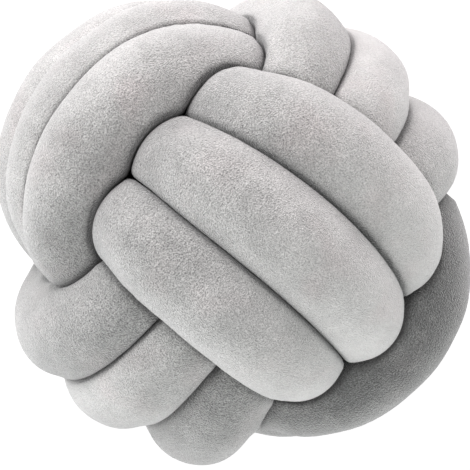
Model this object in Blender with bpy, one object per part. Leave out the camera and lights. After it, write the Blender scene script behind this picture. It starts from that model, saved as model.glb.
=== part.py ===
"""Knot cushion: one long stuffed plush tube, knotted into a ball that lies on its back.

Metres, +Z up, floor at z = 0, the ball's middle over the origin. The knot has three
rings of three turns. Each ring crosses over one neighbour at its two crowns and dives
under the other between them, so the ball shows six faces of three strands each:

    ring 0 crowns at the top and bottom, its strands run along X, stacked along Y
    ring 1 crowns at +X and -X, its strands run along Y, stacked along Z
    ring 2 crowns at +Y and -Y, its strands run along Z, stacked along X

The tube follows one closed centreline through all nine turns, and its two ends meet
inside the ball. Its round section is pressed in wherever it meets the next strand, the
inside of its own bend or the floor.
"""

import bpy
import numpy as np

MM = 0.001
UP = 2  # index of the Z axis

# The tube
TUBE_RADIUS = 28.9 * MM
STATIONS = 424  # sections along the tube
SIDES = 14  # sides of a section
PRESS_SHARPNESS = 12.0  # how crisply a round section turns into its pressed sides
CREASE_GAP = 0.9 * MM  # from a strand to the plane where it would meet the next one
DEEP_GAP = 2.4 * MM  # the same inside the ball, where the tube bends more sharply
DEEP_RADIUS = 48.0 * MM  # inside the ball the filling is squeezed into all the room left
DEEP_REACH = 70.0 * MM  # how near the ball's middle both are whole
FILLING_REACH = 88.0 * MM  # where the filling starts to be squeezed so
LEAST_RADIUS = 3.0 * MM
OWN_REACH = 2.0 * MM  # points this near a section are its own place on the path
TINY = 1e-6

# A quarter of a turn, from a crown on the ball's face down to the pass inside the ball
QUARTER_TURN = (
    # degrees from the crown, mm from the ball's middle, mm between strands
    (0, 113.5, 51.0),
    (30, 108.5, 46.0),
    (40, 96.0, 38.0),
    (50, 91.0, 38.0),
    (62, 71.5, 33.0),
    (90, 54.0, 28.0),
)

# How a face's three strands depart from the even knot together, as in a hand-tied ball
FACES = (
    # ring, crown side, bow of the middle in mm, lean of the ends in mm
    (0, 1, 4.5, -2.0),
    (0, -1, -2.0, 1.5),
    (1, 1, 7.5, -3.0),
    (1, -1, 4.5, 4.0),
    (2, 1, 5.0, 5.0),
    (2, -1, 4.0, -2.5),
)

# How single strands depart from it
STRANDS = (
    # ring, crown side, place in the stack, mm aside, mm outward, degrees along the turn
    (0, 1, -1, 2.6, 0.0, -3.5),
    (0, 1, 0, -0.2, 1.0, 1.0),
    (0, 1, 1, -0.5, 1.5, 2.8),
    (0, -1, -1, -1.5, 2.5, 1.5),
    (0, -1, 1, 1.0, 2.0, -1.0),
    (1, 1, -1, 0.0, -2.0, 1.0),
    (1, 1, 0, 0.0, 0.0, -7.0),
    (1, 1, 1, 3.0, 5.0, 1.5),
    (1, -1, -1, 5.5, 8.0, 2.0),
    (1, -1, 0, 5.0, 2.5, -1.0),
    (1, -1, 1, -6.5, 2.5, 7.0),
    (2, 1, -1, 3.5, -2.0, -3.0),
    (2, 1, 0, -6.0, -4.0, 4.0),
    (2, 1, 1, -6.0, -2.0, 3.0),
    (2, -1, -1, 6.0, 4.5, 2.5),
    (2, -1, 0, -2.3, 2.5, -1.0),
    (2, -1, 1, -1.8, 5.0, 2.0),
)
WHOLE_ANGLE = 38.0  # degrees from a crown up to which these departures are whole
FADE_ANGLE = 24.0  # degrees over which they then fade out
BOW_FALL = 3.0  # how fast a bow turns back towards the strand's ends
LEAN_RISE = 1.5  # so that a lean is whole where the strand dives

# The ball is a little longer one way
STRETCH = np.array([1.013, 1.004, 1.0])

# The one tube's way through the ball
RINGS = 3
TURNS = 3
START_ANGLE = 90.0  # each ring starts and ends inside the ball
RING_CUT = 18.0  # degrees left out at both ends, where the tube passes to the next ring
STEP_ANGLE = 64.0  # degrees in which the tube moves on to the next place in the stack
PATH_STEP = 1.5  # degrees between the first points of the path
BRIDGE_PULL = 180.0 * MM
BRIDGE_POINTS = 24
POINTS_PER_STATION = 3
SOFTENING_ROUNDS = 34
SOFTENING = 0.3

# Lying on the floor
FLOOR_PRESS = 15.0 * MM  # how far the lowest strand is flattened
FLOOR_SNAP = 0.8 * MM  # what comes this close to the floor lies on it

PLUSH_GREY = (0.50, 0.49, 0.485, 1.0)
PLUSH_ROUGHNESS = 0.95


def ease(share):
    """Rises from 0 to 1 with a soft start and end."""
    share = np.clip(share, 0.0, 1.0)
    return share * share * (3.0 - 2.0 * share)


def table_curve(column, at):
    """The quarter turn's column at the given angles, smooth and without overshoot."""
    rows = np.array(QUARTER_TURN)
    angles = rows[:, 0]
    values = rows[:, column] * MM
    width = np.diff(angles)
    slope = np.diff(values) / width
    tangent = np.zeros(len(angles))
    same_way = slope[:-1] * slope[1:] > 0
    harmonic = 2.0 * slope[:-1] * slope[1:] / np.where(same_way, slope[:-1] + slope[1:], 1.0)
    tangent[1:-1] = np.where(same_way, harmonic, 0.0)
    row = np.clip(np.searchsorted(angles, at, side="right") - 1, 0, len(width) - 1)
    share = (at - angles[row]) / width[row]
    rest = 1.0 - share
    rise = share * share * (3.0 - 2.0 * share)
    near = share * rest * rest * width[row] * tangent[row]
    far = -share * share * rest * width[row] * tangent[row + 1]
    return values[row] * (1.0 - rise) + values[row + 1] * rise + near + far


def stack_place(angle):
    """Place in the stack along a ring: -1, 0 and 1 on its three turns."""
    place = np.full(len(angle), -2.0)
    for turn in range(TURNS + 1):
        start = START_ANGLE + 360.0 * turn - STEP_ANGLE / 2.0
        place += ease((angle - start) / STEP_ANGLE)
    return place


def ring_path(ring):
    """The centreline of one ring's three turns."""
    first = START_ANGLE + RING_CUT
    last = START_ANGLE + 360.0 * TURNS - RING_CUT
    angle = np.arange(first, last, PATH_STEP)
    along = np.sin(np.radians(angle))
    outward = np.cos(np.radians(angle))
    side = np.sign(outward)
    turn = np.floor((angle - START_ANGLE) / 360.0) - 1.0
    past_crown = np.mod(angle + 90.0, 180.0) - 90.0
    departs = 1.0 - ease((np.abs(past_crown) - WHOLE_ANGLE) / FADE_ANGLE)

    aside = np.zeros(len(angle))
    lift = np.zeros(len(angle))
    slide = np.zeros(len(angle))
    for face_ring, face_side, bow, lean in FACES:
        here = (face_ring == ring) & (side == face_side)
        shape = bow * (1.0 - BOW_FALL * along**2) + lean * LEAN_RISE * along
        aside += np.where(here, shape * MM, 0.0)
    for strand_ring, strand_side, place, shift, raised, slid in STRANDS:
        here = (strand_ring == ring) & (side == strand_side) & (turn == place)
        aside += np.where(here, shift * MM, 0.0)
        lift += np.where(here, raised * MM, 0.0)
        slide += np.where(here, slid, 0.0)

    from_crown = np.clip(np.abs(past_crown - slide * departs), 0.0, 90.0)
    reach = table_curve(1, from_crown) + lift * departs
    stacked = table_curve(2, from_crown) * stack_place(angle) + aside * departs
    flat = np.sqrt(reach**2 - stacked**2)
    points = np.zeros((len(angle), 3))
    points[:, (ring + 2) % 3] = flat * outward
    points[:, ring] = flat * along
    points[:, (ring + 1) % 3] = stacked
    return points


def bridge(leaving, arriving):
    """A smooth way, inside the ball, from the end of one ring to the start of the next."""
    way_out = leaving[-1] - leaving[-2]
    way_in = arriving[1] - arriving[0]
    way_out *= BRIDGE_PULL / np.linalg.norm(way_out)
    way_in *= BRIDGE_PULL / np.linalg.norm(way_in)
    share = np.linspace(0.0, 1.0, BRIDGE_POINTS + 2)[1:-1, None]
    rise = share * share * (3.0 - 2.0 * share)
    leave = share * (1.0 - share) ** 2 * way_out
    arrive = -(share**2) * (1.0 - share) * way_in
    return leaving[-1] * (1.0 - rise) + arriving[0] * rise + leave + arrive


def even_points(points, count):
    """The closed path at evenly spaced points."""
    closed = np.vstack([points, points[:1]])
    steps = np.linalg.norm(np.diff(closed, axis=0), axis=1)
    travelled = np.concatenate([[0.0], np.cumsum(steps)])
    at = np.linspace(0.0, travelled[-1], count, endpoint=False)
    return np.stack([np.interp(at, travelled, closed[:, axis]) for axis in range(3)], axis=1)


def knot_path():
    """The tube's closed centreline, standing on the floor, in even steps."""
    rings = [ring_path(ring) for ring in range(RINGS)]
    pieces = []
    for ring in range(RINGS):
        pieces += [rings[ring], bridge(rings[ring], rings[(ring + 1) % RINGS])]
    path = even_points(np.concatenate(pieces) * STRETCH, STATIONS * POINTS_PER_STATION)
    for _ in range(SOFTENING_ROUNDS):
        neighbours = (np.roll(path, 1, axis=0) + np.roll(path, -1, axis=0)) / 2.0
        path += SOFTENING * (neighbours - path)
    path[:, UP] += TUBE_RADIUS - FLOOR_PRESS - path[:, UP].min()
    return path


def round_tube(path):
    """A plain round tube along the path, as a mesh that holds its sections in order."""
    curve = bpy.data.curves.new("tube_path", "CURVE")
    curve.dimensions = "3D"
    curve.bevel_depth = TUBE_RADIUS
    curve.bevel_resolution = (SIDES - 4) // 2
    spline = curve.splines.new("POLY")
    spline.points.add(len(path) - 1)
    spline.points.foreach_set("co", np.column_stack([path, np.ones(len(path))]).ravel())
    spline.use_cyclic_u = True
    guide = bpy.data.objects.new("tube_path", curve)
    bpy.context.scene.collection.objects.link(guide)
    evaluated = guide.evaluated_get(bpy.context.evaluated_depsgraph_get())
    mesh = bpy.data.meshes.new_from_object(evaluated)
    bpy.data.objects.remove(guide)
    bpy.data.curves.remove(curve)
    return mesh


def pressed_radius(centre, rays, path):
    """How far each ray of a section reaches before a strand or the floor stops it."""
    crown_reach = QUARTER_TURN[0][1] * MM
    middle = np.array([0.0, 0.0, crown_reach + TUBE_RADIUS - FLOOR_PRESS])
    reach = np.linalg.norm(centre - middle)
    depth = ease((crown_reach - reach) / (crown_reach - DEEP_REACH))
    gap = CREASE_GAP + (DEEP_GAP - CREASE_GAP) * depth
    squeeze = ease((FILLING_REACH - reach) / (FILLING_REACH - DEEP_REACH))
    free = TUBE_RADIUS + (DEEP_RADIUS - TUBE_RADIUS) * squeeze
    to_other = path - centre
    distance = np.einsum("ij,ij->i", to_other, to_other)
    touching = 2.0 * (free + gap)
    near = (distance > OWN_REACH**2) & (distance < touching**2)
    facing = rays @ to_other[near].T
    halfway = distance[near] / (2.0 * np.maximum(facing, TINY))
    stop = halfway.min(axis=1) - gap
    down = np.maximum(-rays[:, UP], TINY)
    stop = np.minimum(stop, centre[UP] / down)
    stop = np.maximum(stop, LEAST_RADIUS)
    sharp = PRESS_SHARPNESS
    return (free**-sharp + stop**-sharp) ** (-1.0 / sharp)


def press(mesh, stations, path):
    """Presses each round section of the tube into the shape that it has in the knot."""
    points = np.empty(len(mesh.vertices) * 3)
    mesh.vertices.foreach_get("co", points)
    sections = points.reshape(len(stations), SIDES, 3)
    for section, centre in zip(sections, stations):
        rays = section - centre
        rays /= np.linalg.norm(rays, axis=1)[:, None]
        section[:] = centre + rays * pressed_radius(centre, rays, path)[:, None]
    height = sections[:, :, UP]
    height[height < FLOOR_SNAP] = 0.0
    middle = (sections.min(axis=(0, 1)) + sections.max(axis=(0, 1))) / 2.0
    sections[:, :, :UP] -= middle[:UP]
    mesh.vertices.foreach_set("co", sections.ravel())
    mesh.update()


def plush():
    material = bpy.data.materials.new("plush")
    material.use_nodes = True
    shader = material.node_tree.nodes["Principled BSDF"]
    shader.inputs["Base Color"].default_value = PLUSH_GREY
    shader.inputs["Roughness"].default_value = PLUSH_ROUGHNESS
    shader.inputs["Metallic"].default_value = 0.0
    return material


def knotted_tube(collection):
    path = knot_path()
    stations = path[::POINTS_PER_STATION]
    mesh = round_tube(stations)
    press(mesh, stations, path)
    mesh.name = "knotted_tube"
    mesh.shade_smooth()
    mesh.materials.append(plush())
    tube = bpy.data.objects.new("knotted_tube", mesh)
    collection.objects.link(tube)


def main():
    for old in list(bpy.data.objects):
        bpy.data.objects.remove(old)
    collection = bpy.data.collections.new("knot_cushion")
    bpy.context.scene.collection.children.link(collection)
    knotted_tube(collection)


main()
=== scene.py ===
"""Knot cushion: the looks of a ball knotted from one long, stuffed, light grey plush tube.

Laid out as an add-on with a panel in the 3D view's sidebar. Run as a script, it dresses
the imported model: the tube is made again with fine sections, pressed where its strands
meet, softly uneven as stuffing is, and covered with short pile.

Metres, +Z up, floor at z = 0. The knot has three rings of three turns:

    ring 0 crowns at the top and bottom, its strands run along X, stacked along Y
    ring 1 crowns at +X and -X, its strands run along Y, stacked along Z
    ring 2 crowns at +Y and -Y, its strands run along Z, stacked along X
"""

import math

import bpy
import numpy as np
from mathutils import Matrix, Vector, noise


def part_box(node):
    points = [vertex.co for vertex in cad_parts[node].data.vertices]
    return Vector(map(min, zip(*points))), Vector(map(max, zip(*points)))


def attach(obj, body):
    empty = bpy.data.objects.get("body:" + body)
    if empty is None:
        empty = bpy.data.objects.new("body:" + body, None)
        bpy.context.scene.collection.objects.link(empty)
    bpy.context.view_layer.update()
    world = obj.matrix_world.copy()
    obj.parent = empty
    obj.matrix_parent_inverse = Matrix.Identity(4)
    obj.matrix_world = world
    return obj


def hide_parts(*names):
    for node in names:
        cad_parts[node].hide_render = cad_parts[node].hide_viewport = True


bl_info = {
    "name": "Knot cushion",
    "version": (1, 0, 0),
    "blender": (4, 5, 0),
    "location": "View3D > Sidebar > Cushion",
    "description": "Dresses the knot cushion in stuffed, short-pile plush",
    "category": "Object",
}

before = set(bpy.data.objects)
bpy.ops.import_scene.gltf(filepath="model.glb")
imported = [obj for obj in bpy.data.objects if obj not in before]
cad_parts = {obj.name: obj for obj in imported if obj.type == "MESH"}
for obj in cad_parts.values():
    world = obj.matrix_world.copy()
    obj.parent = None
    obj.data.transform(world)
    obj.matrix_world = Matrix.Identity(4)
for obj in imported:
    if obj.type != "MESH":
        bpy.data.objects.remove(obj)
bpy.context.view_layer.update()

MM = 0.001
UP = 2  # index of the Z axis
PAINTED_LIGHT_COLUMN = 3  # the column of a path that holds its painted light and shade
NODE = "knotted_tube"
BODY = "root"
WHITE = (1.0, 1.0, 1.0, 1.0)
BLACK = (0.0, 0.0, 0.0, 1.0)

# A quarter of a turn, from a crown on the ball's face down to the pass inside the ball
QUARTER_TURN = (
    # degrees from the crown, mm from the ball's middle, mm between strands
    (0, 113.5, 51.0),
    (30, 108.5, 46.0),
    (40, 96.0, 38.0),
    (50, 91.0, 38.0),
    (62, 71.5, 33.0),
    (90, 54.0, 28.0),
)

# How a face's three strands depart from the even knot together, as in a hand-tied ball
FACES = (
    # ring, crown side, bow of the middle in mm, lean of the ends in mm
    (0, 1, 4.5, -2.0),
    (0, -1, -2.0, 1.5),
    (1, 1, 7.5, -3.0),
    (1, -1, 4.5, 4.0),
    (2, 1, 5.0, 5.0),
    (2, -1, 4.0, -2.5),
)

# How single strands depart from it
STRANDS = (
    # ring, crown side, place in the stack, mm aside, mm outward, degrees along the turn
    (0, 1, -1, 2.6, 0.0, -3.5),
    (0, 1, 0, -0.2, 1.0, 1.0),
    (0, 1, 1, -0.5, 1.5, 2.8),
    (0, -1, -1, -1.5, 2.5, 1.5),
    (0, -1, 1, 1.0, 2.0, -1.0),
    (1, 1, -1, 0.0, -2.0, 1.0),
    (1, 1, 0, 0.0, 0.0, -7.0),
    (1, 1, 1, 3.0, 5.0, 1.5),
    (1, -1, -1, 5.5, 8.0, 2.0),
    (1, -1, 0, 5.0, 2.5, -1.0),
    (1, -1, 1, -6.5, 2.5, 7.0),
    (2, 1, -1, 3.5, -2.0, -3.0),
    (2, 1, 0, -6.0, -4.0, 4.0),
    (2, 1, 1, -6.0, -2.0, 3.0),
    (2, -1, -1, 6.0, 4.5, 2.5),
    (2, -1, 0, -2.3, 2.5, -1.0),
    (2, -1, 1, -1.8, 5.0, 2.0),
)

# Painted light and shade on each face's strands, a ramp along them that stands in for light
# falling:
# from 0, full painted shade, to 1, full painted light, with no more change past either
FACE_PAINTED_LIGHT = (
    # ring, crown side, at the - end, at the + end
    (0, 1, 0.12, 1.3),
    (0, -1, 0.5, 0.5),
    (1, 1, 0.2, -0.15),
    (1, -1, 0.27, 0.62),
    (2, 1, 0.70, 0.68),
    (2, -1, 0.3, 0.4),
)

# How much more painted light single strands get than their face
STRAND_PAINTED_LIGHT = (
    # ring, crown side, place in the stack, how much more
    (0, 1, -1, -0.08),
    (1, -1, -1, 0.10),
    (1, -1, 0, 0.10),
    (1, -1, 1, 0.05),
    (2, 1, -1, -0.12),
    (2, 1, 0, 0.24),
    (2, 1, 1, 0.02),
    (2, -1, -1, -0.05),
    (2, -1, 0, 0.27),
    (2, -1, 1, -0.06),
)
OPEN_ANGLE = 24.0  # degrees from a crown up to which a strand's painted light is whole
DIVE_ANGLE = 52.0  # degrees over which it then dives, fading into painted shade under the strands that cover it

WHOLE_ANGLE = 38.0  # degrees from a crown up to which a strand's departures are whole
FADE_ANGLE = 24.0  # degrees over which they then fade out
BOW_FALL = 3.0  # how fast a bow turns back towards the strand's ends
LEAN_RISE = 1.5  # so that a lean is whole where the strand dives
STRETCH = np.array([1.013, 1.004, 1.0])  # the ball is a little longer one way

# The one tube's way through the ball
RINGS = 3
TURNS = 3
START_ANGLE = 90.0  # each ring starts and ends inside the ball
RING_CUT = 18.0  # degrees left out at both ends, where the tube passes to the next ring
STEP_ANGLE = 64.0  # degrees in which the tube moves on to the next place in the stack
PATH_STEP = 1.5  # degrees between the first points of the path
BRIDGE_PULL = 180.0 * MM  # how strongly a bridge keeps the direction of the rings it joins
BRIDGE_POINTS = 24
STATIONS = 1272  # sections along the tube
SOFTENING_ROUNDS = 34
SOFTENING = 0.3

# The tube's sections
SIDES = 68
PRESS_ROUNDING = 4.0 * MM  # over which a round section turns into its pressed sides
SWELL = 3.0 * MM  # how far a section bulges towards a neighbour that it would just miss
SWELL_REACH = 8.0 * MM  # by how much it would miss it where the bulge starts
CREASE_REACH = 13.0 * MM  # how far from its neighbour a ray still counts as in the crease, where painted crease shade falls
DEEP_GAP = 1.2 * MM  # the crease gap inside the ball, where the tube bends more sharply
DEEP_RADIUS = 48.0 * MM  # inside the ball the filling is squeezed into all the room left
DEEP_REACH = 70.0 * MM  # how near the ball's middle both are whole
FILLING_REACH = 88.0 * MM  # where the filling starts to be squeezed so
LEAST_RADIUS = 3.0 * MM
OWN_REACH = 2.0 * MM  # points this near a section are its own place on the path
TINY = 1e-6

# Lying on the floor
FLOOR_PRESS = 15.0 * MM  # how far the lowest strand is flattened
FLOOR_SNAP = 0.8 * MM  # what comes this close to the floor lies on it
FLOOR_LIFT = 6.0 * MM  # how far above it the lumps of stuffing are whole again

# The plush pile: how close together its marks lie, per metre, and how strong they are
PATCHES_PER_METRE = 26.0
PATCH_STRENGTH = 0.5
SMUDGES_PER_METRE = 85.0
SMUDGE_STRENGTH = 0.35
TUFTS_PER_METRE = 1300.0
TUFT_STRENGTH = 3.1  # where the painted light value is 0, in full painted shade
TUFT_CALMING = 2.9  # how much of it goes where the painted light value is 1, in full painted light
BLUSH_PER_METRE = 34.0
BLUSH_START = 0.52
BLUSH_WHOLE = 0.72
CREASE_SHADE = 0.12  # painted crease shade: how much darker the pile gets over the whole crease
CREASE_CORE = 0.84  # and at its very bottom
PILE_ROUGHNESS = 0.95
PILE_SPECULAR = 0.1
SHEEN_ROUGHNESS = 0.7

# The camera, from the ball's middle
CAMERA_DISTANCE = 1.1343
CAMERA_LEAN = 17.5  # degrees from straight above, towards -X
CAMERA_SIDE = 2.8  # degrees towards -Y
CAMERA_ROLL = 39.1  # degrees that the top strands fall to the right in the picture
LENS = 146.8  # mm, on a sensor 36 mm wide
AIM_BELOW = 8.4 * MM  # how far below the ball's middle the picture's middle lies

# Soft boxes round the ball: where they stand in the picture, and how strong they are
LIGHTS = (
    # name, degrees from the picture's right, degrees from the camera's axis, W, colour
    ("left", 150.0, 60.0, 11.2, (1.0, 1.0, 1.0)),
    ("top", 105.0, 60.0, 7.4, (1.0, 0.91, 0.94)),
    ("upper_right", 60.0, 78.0, 6.7, (1.0, 0.90, 0.92)),
    ("bottom", 252.0, 72.0, 6.4, (1.0, 1.0, 1.0)),
    ("lower_right", 312.0, 78.0, 5.2, (0.97, 1.0, 0.98)),
)
LIGHT_DISTANCE = 1.6
LIGHT_SIZE = 0.9
FLOOR_SIZE = 40.0
FLOOR_GLOW = 0.7  # the floor is lit from below, as a light table is
ROOM_GLOW = 0.4  # pale walls all round


def ease(share):
    """Rises from 0 to 1 with a soft start and end."""
    share = np.clip(share, 0.0, 1.0)
    return share * share * (3.0 - 2.0 * share)


def table_curve(column, at):
    """The quarter turn's column at the given angles, smooth and without overshoot."""
    rows = np.array(QUARTER_TURN)
    angles = rows[:, 0]
    values = rows[:, column] * MM
    width = np.diff(angles)
    slope = np.diff(values) / width
    tangent = np.zeros(len(angles))
    same_way = slope[:-1] * slope[1:] > 0
    harmonic = 2.0 * slope[:-1] * slope[1:] / np.where(same_way, slope[:-1] + slope[1:], 1.0)
    tangent[1:-1] = np.where(same_way, harmonic, 0.0)
    row = np.clip(np.searchsorted(angles, at, side="right") - 1, 0, len(width) - 1)
    share = (at - angles[row]) / width[row]
    rest = 1.0 - share
    rise = share * share * (3.0 - 2.0 * share)
    near = share * rest * rest * width[row] * tangent[row]
    far = -share * share * rest * width[row] * tangent[row + 1]
    return values[row] * (1.0 - rise) + values[row + 1] * rise + near + far


def stack_place(angle):
    """Place in the stack along a ring: -1, 0 and 1 on its three turns."""
    place = np.full(len(angle), -2.0)
    for turn in range(TURNS + 1):
        start = START_ANGLE + 360.0 * turn - STEP_ANGLE / 2.0
        place += ease((angle - start) / STEP_ANGLE)
    return place


def ring_path(ring):
    """One ring's three turns: the centreline's x, y and z, and its painted light and shade."""
    first = START_ANGLE + RING_CUT
    last = START_ANGLE + 360.0 * TURNS - RING_CUT
    angle = np.arange(first, last, PATH_STEP)
    along = np.sin(np.radians(angle))
    outward = np.cos(np.radians(angle))
    side = np.sign(outward)
    turn = np.floor((angle - START_ANGLE) / 360.0) - 1.0
    past_crown = np.mod(angle + 90.0, 180.0) - 90.0
    departs = 1.0 - ease((np.abs(past_crown) - WHOLE_ANGLE) / FADE_ANGLE)

    aside = np.zeros(len(angle))
    lift = np.zeros(len(angle))
    slide = np.zeros(len(angle))
    for face_ring, face_side, bow, lean in FACES:
        here = (face_ring == ring) & (side == face_side)
        shape = bow * (1.0 - BOW_FALL * along**2) + lean * LEAN_RISE * along
        aside += np.where(here, shape * MM, 0.0)
    for strand_ring, strand_side, place, shift, raised, slid in STRANDS:
        here = (strand_ring == ring) & (side == strand_side) & (turn == place)
        aside += np.where(here, shift * MM, 0.0)
        lift += np.where(here, raised * MM, 0.0)
        slide += np.where(here, slid, 0.0)

    from_crown = np.clip(np.abs(past_crown - slide * departs), 0.0, 90.0)
    reach = table_curve(1, from_crown) + lift * departs
    stacked = table_curve(2, from_crown) * stack_place(angle) + aside * departs
    flat = np.sqrt(reach**2 - stacked**2)
    points = np.zeros((len(angle), 4))
    # Painted light and shade along the strands, fading into painted shade where they dive
    unshaded = 1.0 - ease((np.abs(past_crown) - OPEN_ANGLE) / DIVE_ANGLE)
    for face_ring, face_side, first_end, last_end in FACE_PAINTED_LIGHT:
        here = (face_ring == ring) & (side == face_side)
        brushed = first_end + (last_end - first_end) * (along + 1.0) / 2.0
        points[:, PAINTED_LIGHT_COLUMN] += np.where(here, brushed * unshaded, 0.0)
    for strand_ring, strand_side, place, more in STRAND_PAINTED_LIGHT:
        here = (strand_ring == ring) & (side == strand_side) & (turn == place)
        points[:, PAINTED_LIGHT_COLUMN] += np.where(here, more * unshaded, 0.0)
    points[:, (ring + 2) % 3] = flat * outward
    points[:, ring] = flat * along
    points[:, (ring + 1) % 3] = stacked
    return points


def bridge(leaving, arriving):
    """A smooth way, inside the ball, from the end of one ring to the start of the next."""
    way_out = leaving[-1] - leaving[-2]
    way_in = arriving[1] - arriving[0]
    way_out *= BRIDGE_PULL / np.linalg.norm(way_out)
    way_in *= BRIDGE_PULL / np.linalg.norm(way_in)
    share = np.linspace(0.0, 1.0, BRIDGE_POINTS + 2)[1:-1, None]
    rise = share * share * (3.0 - 2.0 * share)
    leave = share * (1.0 - share) ** 2 * way_out
    arrive = -(share**2) * (1.0 - share) * way_in
    return leaving[-1] * (1.0 - rise) + arriving[0] * rise + leave + arrive


def even_points(points, count):
    """The closed path at evenly spaced points."""
    closed = np.vstack([points, points[:1]])
    steps = np.linalg.norm(np.diff(closed[:, :PAINTED_LIGHT_COLUMN], axis=0), axis=1)
    travelled = np.concatenate([[0.0], np.cumsum(steps)])
    at = np.linspace(0.0, travelled[-1], count, endpoint=False)
    return np.stack([np.interp(at, travelled, column) for column in closed.T], axis=1)


def knot_path(radius):
    """The tube's centreline on the floor, the painted light and shade along it, and its lift."""
    rings = [ring_path(ring) for ring in range(RINGS)]
    pieces = []
    for ring in range(RINGS):
        pieces += [rings[ring], bridge(rings[ring], rings[(ring + 1) % RINGS])]
    path = np.concatenate(pieces)
    path[:, :PAINTED_LIGHT_COLUMN] *= STRETCH
    path = even_points(path, STATIONS)
    for _ in range(SOFTENING_ROUNDS):
        neighbours = (np.roll(path, 1, axis=0) + np.roll(path, -1, axis=0)) / 2.0
        path += SOFTENING * (neighbours - path)
    height = radius - FLOOR_PRESS - path[:, UP].min()
    path[:, UP] += height
    return path[:, :PAINTED_LIGHT_COLUMN], path[:, PAINTED_LIGHT_COLUMN], height


def round_tube(path, radius):
    """A plain round tube along the path, as a mesh that holds its sections in order."""
    curve = bpy.data.curves.new("tube_path", "CURVE")
    curve.dimensions = "3D"
    curve.bevel_depth = radius
    curve.bevel_resolution = (SIDES - 4) // 2
    spline = curve.splines.new("POLY")
    spline.points.add(len(path) - 1)
    spline.points.foreach_set("co", np.column_stack([path, np.ones(len(path))]).ravel())
    spline.use_cyclic_u = True
    guide = bpy.data.objects.new("tube_path", curve)
    bpy.context.scene.collection.objects.link(guide)
    evaluated = guide.evaluated_get(bpy.context.evaluated_depsgraph_get())
    mesh = bpy.data.meshes.new_from_object(evaluated)
    bpy.data.objects.remove(guide)
    bpy.data.curves.remove(curve)
    return mesh


def pressed_radius(centre, rays, path, middle, sizes):
    """How far each ray of a section reaches, and where a strand or the floor stops it.

    The third result is how deep in a crease each ray ends, from 0 in the open to 1.
    """
    crown_reach = QUARTER_TURN[0][1] * MM
    reach = np.linalg.norm(centre - middle)
    depth = ease((crown_reach - reach) / (crown_reach - DEEP_REACH))
    gap = sizes.crease_gap + (DEEP_GAP - sizes.crease_gap) * depth
    squeeze = ease((FILLING_REACH - reach) / (FILLING_REACH - DEEP_REACH))
    free = sizes.tube_radius + (DEEP_RADIUS - sizes.tube_radius) * squeeze
    to_other = path - centre
    distance = np.einsum("ij,ij->i", to_other, to_other)
    touching = 2.0 * (free + gap + CREASE_REACH)
    near = (distance > OWN_REACH**2) & (distance < touching**2)
    facing = rays @ to_other[near].T
    halfway = distance[near] / (2.0 * np.maximum(facing, TINY))
    stop = np.maximum(halfway.min(axis=1) - gap, LEAST_RADIUS)
    swollen = free + SWELL * ease((free + SWELL_REACH - stop) / SWELL_REACH)
    crease = np.clip(1.0 - (stop - swollen) / CREASE_REACH, 0.0, 1.0)
    down = np.maximum(-rays[:, UP], TINY)
    stop = np.minimum(stop, centre[UP] / down)
    blend = np.maximum(PRESS_ROUNDING - np.abs(swollen - stop), 0.0)
    return np.minimum(swollen, stop) - blend**2 / (4.0 * PRESS_ROUNDING), stop, crease


def press(mesh, path, middle, sizes):
    """Presses each round section of the tube into the shape that it has in the knot.

    Returns how deep in a crease each point lies, from 0 in the open to 1.
    """
    points = np.empty(len(mesh.vertices) * 3)
    mesh.vertices.foreach_get("co", points)
    sections = points.reshape(len(path), SIDES, 3)
    rays = sections - path[:, None]
    rays /= np.linalg.norm(rays, axis=2)[:, :, None]
    pressed = [
        pressed_radius(centre, section, path, middle, sizes) for centre, section in zip(path, rays)
    ]
    reaches, stops, creases = np.array(pressed).transpose(1, 0, 2)
    for axis in (0, 1):
        both_sides = np.roll(reaches, 1, axis=axis) + np.roll(reaches, -1, axis=axis)
        reaches = reaches / 2.0 + both_sides / 4.0
    reaches = np.minimum(reaches, stops)
    sections[:] = path[:, None] + rays * reaches[:, :, None]
    height = sections[:, :, UP]
    height[height < FLOOR_SNAP] = 0.0
    mesh.vertices.foreach_set("co", sections.ravel())
    mesh.update()
    return creases.ravel()


def write_attribute(mesh, name, values):
    attribute = mesh.attributes.new(name, "FLOAT", "POINT")
    attribute.data.foreach_set("value", values.astype(np.float32))


def place_on_node(mesh):
    """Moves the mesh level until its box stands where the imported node's box stands."""
    low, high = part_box(NODE)
    corners = np.empty(len(mesh.vertices) * 3)
    mesh.vertices.foreach_get("co", corners)
    corners = corners.reshape(-1, 3)
    middle = (corners.min(axis=0) + corners.max(axis=0)) / 2.0
    move = (Vector(low) + Vector(high)) / 2.0 - Vector(middle)
    move.z = 0.0
    mesh.transform(Matrix.Translation(move))
    return move


class Value:
    """A socket of a material, with arithmetic that adds Math nodes."""

    def __init__(self, surface, socket):
        self.surface = surface
        self.socket = socket

    def math(self, operation, first, second):
        made = self.surface.node("ShaderNodeMath", {"operation": operation}, {0: first, 1: second})
        return made["Value"]

    def __add__(self, other):
        return self.math("ADD", self, other)

    def __sub__(self, other):
        return self.math("SUBTRACT", self, other)

    def __mul__(self, other):
        return self.math("MULTIPLY", self, other)

    def __radd__(self, other):
        return self.math("ADD", other, self)

    def __rsub__(self, other):
        return self.math("SUBTRACT", other, self)

    def __rmul__(self, other):
        return self.math("MULTIPLY", other, self)


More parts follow.
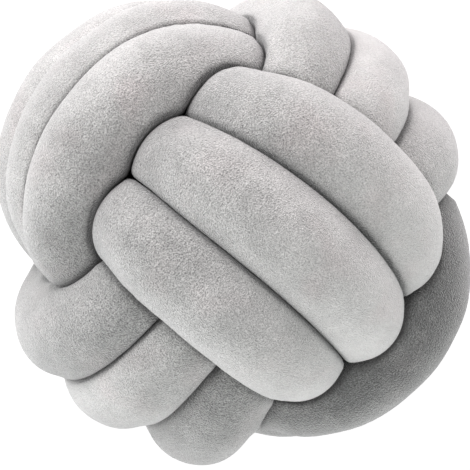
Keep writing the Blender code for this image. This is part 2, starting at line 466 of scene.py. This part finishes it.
class Surface:
    """A material, and the one way in which its nodes are added."""

    def __init__(self, name):
        self.material = bpy.data.materials.new(name)
        self.material.use_nodes = True
        self.tree = self.material.node_tree
        self.tree.nodes.clear()

    def node(self, kind, settings, sockets):
        """Adds a node: its settings first, then the values or links of its sockets."""
        made = self.tree.nodes.new(kind)
        for name, setting in settings.items():
            if name == "stops":
                self.set_stops(made.color_ramp, setting)
            else:
                setattr(made, name, setting)
        for name, value in sockets.items():
            if isinstance(value, Value):
                self.tree.links.new(value.socket, made.inputs[name])
            else:
                made.inputs[name].default_value = value
        return {output.name: Value(self, output) for output in made.outputs if output.enabled}

    def attribute(self, name):
        return self.node("ShaderNodeAttribute", {"attribute_name": name}, {})["Fac"]

    def set_stops(self, ramp, stops):
        for place, colour in stops[len(ramp.elements):]:
            ramp.elements.new(place)
        for element, (place, colour) in zip(ramp.elements, stops):
            element.position = place
            element.color = colour

    def mix_colour(self, factor, first, second):
        mixed = self.node(
            "ShaderNodeMix",
            {"data_type": "RGBA"},
            {"Factor": factor, 6: first, 7: second},
        )
        return mixed["Result"]


def plush(colours, sizes):
    """Short plush pile: painted light and shade along the strands, painted crease shade, random
    patches, fine tufts, and a broad, soft sheen.
    """
    surface = Surface("plush")
    place = surface.node("ShaderNodeTexCoord", {}, {})["Object"]
    brushed = surface.attribute("brushed")
    crease = surface.attribute("crease")

    def clouds(scale, detail, roughness):
        sockets = {"Vector": place, "Scale": scale, "Detail": detail, "Roughness": roughness}
        return surface.node("ShaderNodeTexNoise", {}, sockets)["Fac"]

    patches = clouds(PATCHES_PER_METRE, 2.0, 0.5) - 0.5
    smudges = clouds(SMUDGES_PER_METRE, 2.0, 0.55) - 0.5
    tufts = clouds(TUFTS_PER_METRE, 0.0, 0.5) - 0.5

    # Painted light and shade along the strands, with random patches and smudges of tone
    shade = brushed + patches * PATCH_STRENGTH + smudges * SMUDGE_STRENGTH
    colour = surface.mix_colour(
        shade, (*colours.painted_shaded_pile, 1.0), (*colours.painted_lit_pile, 1.0)
    )
    blush = surface.node(
        "ShaderNodeValToRGB",
        {"stops": ((BLUSH_START, BLACK), (BLUSH_WHOLE, WHITE))},
        {"Fac": clouds(BLUSH_PER_METRE, 1.0, 0.5)},
    )["Color"]
    tint = surface.mix_colour(blush, WHITE, (*colours.pile_blush, 1.0))
    colour = surface.node(
        "ShaderNodeVectorMath", {"operation": "MULTIPLY"}, {0: colour, 1: tint}
    )["Vector"]
    grain = 1.0 + tufts * (TUFT_STRENGTH - TUFT_CALMING * brushed)
    # Painted shade in the creases, darkest at their very bottom
    deeper = crease * crease
    core = deeper * deeper * deeper * deeper
    shaded = grain * (1.0 - crease * CREASE_SHADE - core * CREASE_CORE)
    colour = surface.node(
        "ShaderNodeVectorMath", {"operation": "SCALE"}, {"Vector": colour, "Scale": shaded}
    )["Vector"]

    bump = surface.node(
        "ShaderNodeBump",
        {},
        {
            "Strength": 1.0,
            "Distance": sizes.pile_height,
            "Height": tufts,
        },
    )["Normal"]
    shader = surface.node(
        "ShaderNodeBsdfPrincipled",
        {},
        {
            "Base Color": colour,
            "Roughness": PILE_ROUGHNESS,
            "Specular IOR Level": PILE_SPECULAR,
            "Sheen Weight": 1.0,
            "Sheen Roughness": SHEEN_ROUGHNESS,
            "Normal": bump,
        },
    )["BSDF"]
    surface.node("ShaderNodeOutputMaterial", {}, {"Surface": shader})
    return surface.material


def light_table(colour):
    """The plain, pale, softly glowing surface of the floor."""
    surface = Surface("light_table")
    shader = surface.node(
        "ShaderNodeBsdfPrincipled",
        {},
        {
            "Base Color": (*colour, 1.0),
            "Roughness": 0.9,
            "Specular IOR Level": 0.1,
            "Emission Color": WHITE,
            "Emission Strength": FLOOR_GLOW,
        },
    )["BSDF"]
    surface.node("ShaderNodeOutputMaterial", {}, {"Surface": shader})
    return surface.material


def uneven(mesh, path, creases, sizes):
    """Lets the stuffing show: soft lumps wherever neither a strand nor the floor presses."""
    points = np.empty(len(mesh.vertices) * 3)
    mesh.vertices.foreach_get("co", points)
    sections = points.reshape(len(path), SIDES, 3)
    free = ease(1.0 - creases.reshape(len(path), SIDES))
    for section, centre, room in zip(sections, path, free):
        rays = section - centre
        reach = np.linalg.norm(rays, axis=1)
        lump = [noise.noise(Vector(point) * sizes.lumps_per_metre) for point in section]
        room *= ease((section[:, UP] - FLOOR_SNAP) / FLOOR_LIFT)
        section += rays * (np.array(lump) * sizes.lump_height * room / reach)[:, None]
    mesh.vertices.foreach_set("co", sections.ravel())
    mesh.update()


class CushionSizes(bpy.types.PropertyGroup):
    """The sizes that a user may change."""

    tube_radius: bpy.props.FloatProperty(
        name="Tube radius",
        description="Radius of the stuffed tube where nothing presses it",
        default=28.6 * MM,
        min=10.0 * MM,
        max=60.0 * MM,
        unit="LENGTH",
    )
    crease_gap: bpy.props.FloatProperty(
        name="Crease gap",
        description="From a strand to the plane where it would meet the next one",
        default=0.25 * MM,
        min=0.0,
        max=5.0 * MM,
        unit="LENGTH",
    )
    pile_height: bpy.props.FloatProperty(
        name="Pile height",
        description="Height of the plush pile's tufts",
        default=0.8 * MM,
        min=0.1 * MM,
        max=5.0 * MM,
        unit="LENGTH",
    )
    lump_height: bpy.props.FloatProperty(
        name="Lump height",
        description="How uneven the stuffing makes the tube",
        default=1.4 * MM,
        min=0.0,
        max=10.0 * MM,
        unit="LENGTH",
    )
    lumps_per_metre: bpy.props.FloatProperty(
        name="Lumps per metre",
        description="How close together the stuffing's lumps lie",
        default=32.0,
        min=1.0,
        max=200.0,
    )


class CushionColours(bpy.types.PropertyGroup):
    """The colours that a user may change."""

    # Painted light: the pile's colour where the most light is painted on
    painted_lit_pile: bpy.props.FloatVectorProperty(
        name="Pile, brushed up",
        description="Colour of the pile where it is brushed towards the light",
        default=(0.857, 0.850, 0.834),
        min=0.0,
        max=1.0,
        subtype="COLOR",
    )
    # Painted shade: the pile's colour where the most shade is painted on
    painted_shaded_pile: bpy.props.FloatVectorProperty(
        name="Pile, brushed down",
        description="Colour of the pile where it is brushed away from the light",
        default=(0.112, 0.117, 0.114),
        min=0.0,
        max=1.0,
        subtype="COLOR",
    )
    pile_blush: bpy.props.FloatVectorProperty(
        name="Pile, blush patches",
        description="Tint of the faintly pink patches",
        default=(1.0, 0.955, 0.96),
        min=0.0,
        max=1.0,
        subtype="COLOR",
    )
    floor: bpy.props.FloatVectorProperty(
        name="Floor",
        description="Colour of the floor that the cushion lies on",
        default=(0.55, 0.55, 0.55),
        min=0.0,
        max=1.0,
        subtype="COLOR",
    )


class CUSHION_OT_tube(bpy.types.Operator):
    """Make the knotted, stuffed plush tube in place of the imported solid"""

    bl_idname = "cushion.tube"
    bl_label = "Knotted tube"

    def execute(self, context):
        sizes = context.scene.cushion_sizes
        path, brushed, height = knot_path(sizes.tube_radius)
        middle = np.array([0.0, 0.0, height])
        mesh = round_tube(path, sizes.tube_radius)
        creases = press(mesh, path, middle, sizes)
        uneven(mesh, path, creases, sizes)
        move = place_on_node(mesh)
        mesh.name = "plush_knot"
        mesh.shade_smooth()
        mesh.materials.clear()
        mesh.materials.append(plush(context.scene.cushion_colours, sizes))
        # The painted light and shade, and the crease depth that the painted crease shade follows
        write_attribute(mesh, "brushed", np.repeat(brushed, SIDES))
        write_attribute(mesh, "crease", creases)
        piece = bpy.data.objects.new("plush_knot", mesh)
        context.scene.collection.objects.link(piece)
        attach(piece, BODY)
        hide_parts(NODE)
        context.scene["cushion_middle"] = (move.x, move.y, height)
        return {"FINISHED"}


class CUSHION_OT_stage(bpy.types.Operator):
    """Make the floor, the soft boxes and the camera"""

    bl_idname = "cushion.stage"
    bl_label = "Stage"

    def execute(self, context):
        scene = context.scene
        middle = Vector(scene["cushion_middle"])
        lean = math.radians(CAMERA_LEAN)
        side = math.radians(CAMERA_SIDE)
        towards = Vector(
            (-math.sin(lean) * math.cos(side), -math.sin(side), math.cos(lean) * math.cos(side))
        )
        right, top = picture_axes(towards)
        make_camera(scene, middle - top * AIM_BELOW, towards, right, top)
        for row in LIGHTS:
            soft_box(scene, middle, (right, top, towards), row)
        bpy.ops.mesh.primitive_plane_add(size=FLOOR_SIZE, location=(0.0, 0.0, 0.0))
        floor = context.active_object
        floor.name = "floor"
        floor.data.materials.append(light_table(scene.cushion_colours.floor))
        make_room(scene)
        scene.view_settings.view_transform = "Standard"
        return {"FINISHED"}


def picture_axes(towards):
    """The picture's right and top, turned so that the top strands fall to the right."""
    along = Vector((1.0, 0.0, 0.0))
    along = (along - towards * along.dot(towards)).normalized()
    across = towards.cross(along)
    roll = math.radians(CAMERA_ROLL)
    right = along * math.cos(roll) + across * math.sin(roll)
    top = across * math.cos(roll) - along * math.sin(roll)
    return right, top


def make_camera(scene, aim, towards, right, top):
    camera = bpy.data.objects.new("camera", bpy.data.cameras.new("camera"))
    camera.data.lens = LENS
    turn = Matrix((right, top, towards)).transposed().to_4x4()
    camera.matrix_world = Matrix.Translation(aim + towards * CAMERA_DISTANCE) @ turn
    scene.collection.objects.link(camera)
    scene.camera = camera


def make_room(scene):
    """Pale walls, so far away that only their glow matters."""
    scene.world = bpy.data.worlds.new("room")
    scene.world.use_nodes = True
    walls = scene.world.node_tree.nodes["Background"]
    walls.inputs["Color"].default_value = WHITE
    walls.inputs["Strength"].default_value = ROOM_GLOW


def soft_box(scene, middle, axes, row):
    """A square area light on a sphere round the ball, facing it."""
    right, top, towards = axes
    name, around, tilt, power, colour = row
    around = math.radians(around)
    tilt = math.radians(tilt)
    out = right * math.cos(around) + top * math.sin(around)
    way = towards * math.cos(tilt) + out * math.sin(tilt)
    lamp = bpy.data.lights.new(name, "AREA")
    lamp.energy = power
    lamp.size = LIGHT_SIZE
    lamp.color = colour
    box = bpy.data.objects.new(name, lamp)
    turn = way.to_track_quat("Z", "Y").to_matrix().to_4x4()
    box.matrix_world = Matrix.Translation(middle + way * LIGHT_DISTANCE) @ turn
    scene.collection.objects.link(box)


class CUSHION_PT_panel(bpy.types.Panel):
    """The cushion's sizes, colours and steps"""

    bl_idname = "CUSHION_PT_panel"
    bl_label = "Knot cushion"
    bl_space_type = "VIEW_3D"
    bl_region_type = "UI"
    bl_category = "Cushion"

    def draw(self, context):
        for group in (context.scene.cushion_sizes, context.scene.cushion_colours):
            box = self.layout.box()
            for name in group.bl_rna.properties.keys():
                if name not in ("rna_type", "name"):
                    box.prop(group, name)
        self.layout.operator(CUSHION_OT_tube.bl_idname)
        self.layout.operator(CUSHION_OT_stage.bl_idname)


CLASSES = (CushionSizes, CushionColours, CUSHION_OT_tube, CUSHION_OT_stage, CUSHION_PT_panel)


def register():
    for cls in CLASSES:
        bpy.utils.register_class(cls)
    bpy.types.Scene.cushion_sizes = bpy.props.PointerProperty(type=CushionSizes)
    bpy.types.Scene.cushion_colours = bpy.props.PointerProperty(type=CushionColours)


def unregister():
    del bpy.types.Scene.cushion_sizes
    del bpy.types.Scene.cushion_colours
    for cls in reversed(CLASSES):
        bpy.utils.unregister_class(cls)


def main():
    register()
    bpy.ops.cushion.tube()
    bpy.ops.cushion.stage()


if __name__ == "__main__":
    main()
